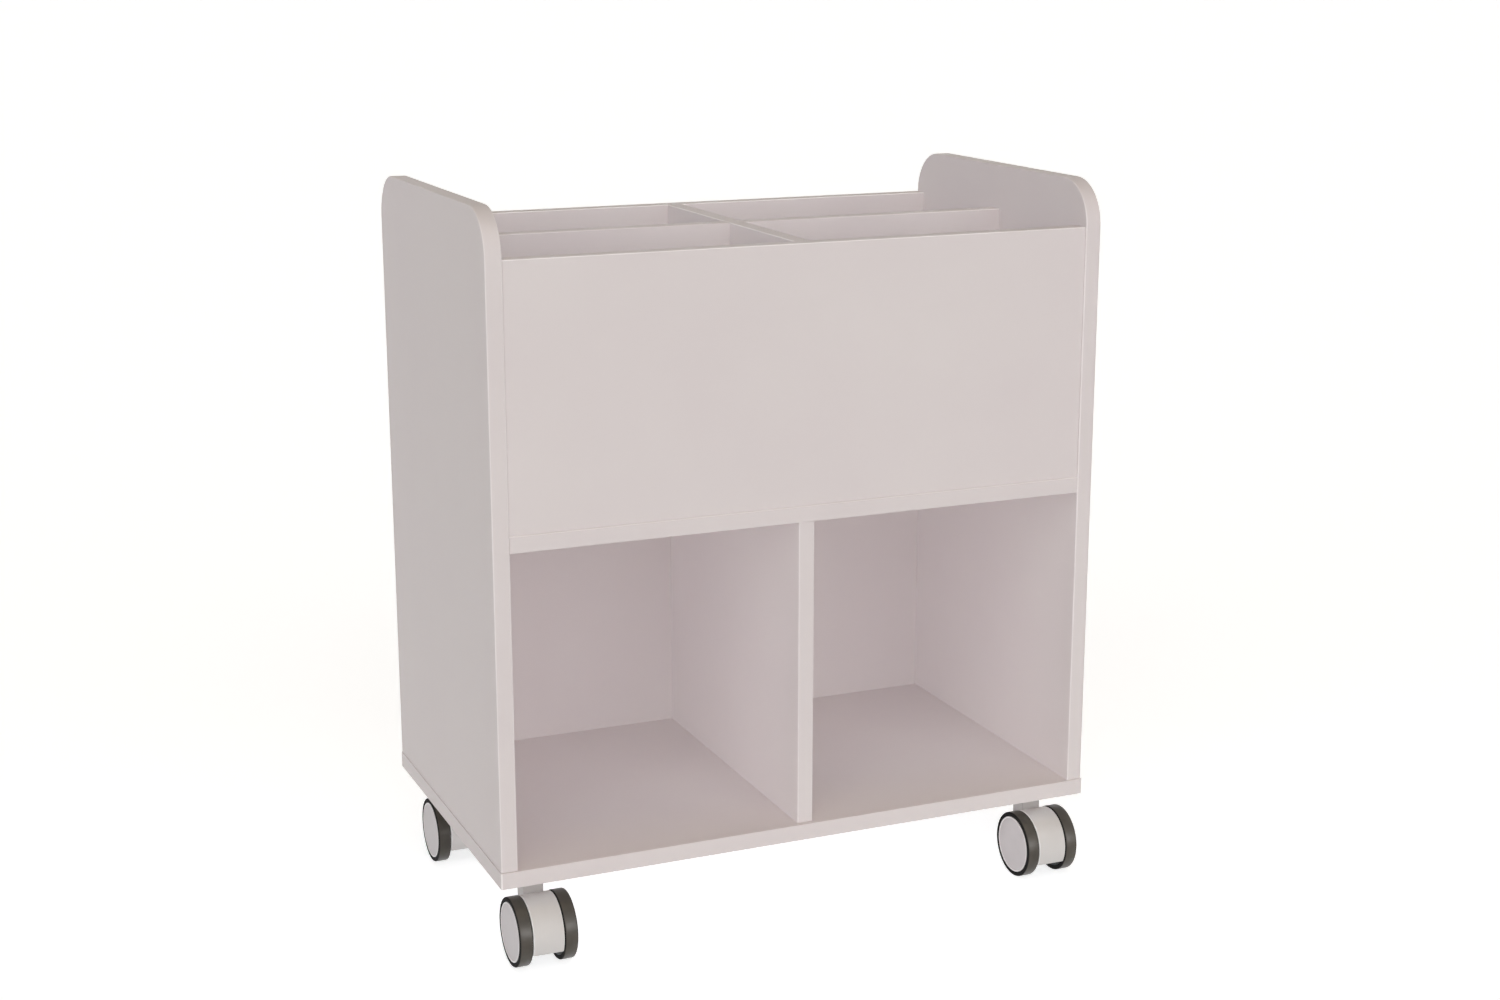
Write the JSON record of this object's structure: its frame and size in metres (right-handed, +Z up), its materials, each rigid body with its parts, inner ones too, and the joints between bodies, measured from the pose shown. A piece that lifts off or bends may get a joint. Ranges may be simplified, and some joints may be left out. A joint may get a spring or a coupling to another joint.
{
  "type": "book browser bin",
  "caption": "Library browser bin: a pale board cabinet on twin-wheel swivel casters, with divided open-topped bins for picture books above open cubbies, between round-cornered side panels.",
  "frame": {"origin": "on the floor, below the middle of the whole object's box at rest, with every caster trailing to the front", "axes": "+Z up, the front with the open cubbies faces -Y, +X to the right seen from the front"},
  "size_m": [0.702, 0.4186, 0.805],
  "materials": {
    "laminate": "pale warm white laminate on board, satin",
    "caster_plastic": "pale grey moulded plastic, satin",
    "tyre_rubber": "dark warm grey soft tread",
    "zinc_steel": "bright zinc plated steel",
    "insert_brass": "plain brass",
    "dowel_wood": "raw beech"
  },
  "bodies": {
    "carcass": {"base_panel": "laminate", "left_side_panel": "laminate", "right_side_panel": "laminate", "bin_floor_shelf": "laminate", "back_panel": "laminate", "bin_front_panel": "laminate", "cubby_divider": "laminate", "bin_cross_divider": "laminate", "bin_long_divider": "laminate", "base_screw_left_front": "zinc_steel", "base_screw_left_rear": "zinc_steel", "base_screw_middle_front": "zinc_steel", "base_screw_middle_rear": "zinc_steel", "base_screw_right_front": "zinc_steel", "base_screw_right_rear": "zinc_steel", "dowel_divider_top": "dowel_wood", "dowel_shelf_front_left": "dowel_wood", "dowel_shelf_front_right": "dowel_wood", "dowel_shelf_rear_left": "dowel_wood", "dowel_shelf_rear_right": "dowel_wood", "dowel_bin_front_low_left": "dowel_wood", "dowel_bin_front_low_right": "dowel_wood", "dowel_bin_front_high_left": "dowel_wood", "dowel_bin_front_high_right": "dowel_wood", "dowel_back_low_left": "dowel_wood", "dowel_back_low_right": "dowel_wood", "dowel_back_high_left": "dowel_wood", "dowel_back_high_right": "dowel_wood", "front_left_insert": "insert_brass", "front_right_insert": "insert_brass", "rear_left_insert": "insert_brass", "rear_right_insert": "insert_brass", "front_left_stem": "zinc_steel", "front_right_stem": "zinc_steel", "rear_left_stem": "zinc_steel", "rear_right_stem": "zinc_steel"},
    "front_left_caster": {"front_left_hood": "caster_plastic", "front_left_axle": "zinc_steel"},
    "front_left_outer_wheel": {"front_left_outer_hub": "caster_plastic", "front_left_outer_tyre": "tyre_rubber"},
    "front_left_inner_wheel": {"front_left_inner_hub": "caster_plastic", "front_left_inner_tyre": "tyre_rubber"},
    "front_right_caster": {"front_right_hood": "caster_plastic", "front_right_axle": "zinc_steel"},
    "front_right_outer_wheel": {"front_right_outer_hub": "caster_plastic", "front_right_outer_tyre": "tyre_rubber"},
    "front_right_inner_wheel": {"front_right_inner_hub": "caster_plastic", "front_right_inner_tyre": "tyre_rubber"},
    "rear_left_caster": {"rear_left_hood": "caster_plastic", "rear_left_axle": "zinc_steel"},
    "rear_left_outer_wheel": {"rear_left_outer_hub": "caster_plastic", "rear_left_outer_tyre": "tyre_rubber"},
    "rear_left_inner_wheel": {"rear_left_inner_hub": "caster_plastic", "rear_left_inner_tyre": "tyre_rubber"},
    "rear_right_caster": {"rear_right_hood": "caster_plastic", "rear_right_axle": "zinc_steel"},
    "rear_right_outer_wheel": {"rear_right_outer_hub": "caster_plastic", "rear_right_outer_tyre": "tyre_rubber"},
    "rear_right_inner_wheel": {"rear_right_inner_hub": "caster_plastic", "rear_right_inner_tyre": "tyre_rubber"}
  },
  "joints": [
    {"name": "front_left_swivel", "type": "hinge", "parent": "carcass", "child": "front_left_caster", "pos_m": [-0.305, -0.14575, 0.092], "axis": [0, 0, 1], "continuous": true},
    {"name": "front_left_outer_roll", "type": "hinge", "parent": "front_left_caster", "child": "front_left_outer_wheel", "pos_m": [-0.32987, -0.17175, 0.0375], "axis": [1, 0, 0], "continuous": true},
    {"name": "front_left_inner_roll", "type": "hinge", "parent": "front_left_caster", "child": "front_left_inner_wheel", "pos_m": [-0.28013, -0.17175, 0.0375], "axis": [1, 0, 0], "continuous": true},
    {"name": "front_right_swivel", "type": "hinge", "parent": "carcass", "child": "front_right_caster", "pos_m": [0.305, -0.14575, 0.092], "axis": [0, 0, 1], "continuous": true},
    {"name": "front_right_outer_roll", "type": "hinge", "parent": "front_right_caster", "child": "front_right_outer_wheel", "pos_m": [0.32987, -0.17175, 0.0375], "axis": [1, 0, 0], "continuous": true},
    {"name": "front_right_inner_roll", "type": "hinge", "parent": "front_right_caster", "child": "front_right_inner_wheel", "pos_m": [0.28013, -0.17175, 0.0375], "axis": [1, 0, 0], "continuous": true},
    {"name": "rear_left_swivel", "type": "hinge", "parent": "carcass", "child": "rear_left_caster", "pos_m": [-0.305, 0.16425, 0.092], "axis": [0, 0, 1], "continuous": true},
    {"name": "rear_left_outer_roll", "type": "hinge", "parent": "rear_left_caster", "child": "rear_left_outer_wheel", "pos_m": [-0.32987, 0.13825, 0.0375], "axis": [1, 0, 0], "continuous": true},
    {"name": "rear_left_inner_roll", "type": "hinge", "parent": "rear_left_caster", "child": "rear_left_inner_wheel", "pos_m": [-0.28013, 0.13825, 0.0375], "axis": [1, 0, 0], "continuous": true},
    {"name": "rear_right_swivel", "type": "hinge", "parent": "carcass", "child": "rear_right_caster", "pos_m": [0.305, 0.16425, 0.092], "axis": [0, 0, 1], "continuous": true},
    {"name": "rear_right_outer_roll", "type": "hinge", "parent": "rear_right_caster", "child": "rear_right_outer_wheel", "pos_m": [0.32987, 0.13825, 0.0375], "axis": [1, 0, 0], "continuous": true},
    {"name": "rear_right_inner_roll", "type": "hinge", "parent": "rear_right_caster", "child": "rear_right_inner_wheel", "pos_m": [0.28013, 0.13825, 0.0375], "axis": [1, 0, 0], "continuous": true}
  ]
}
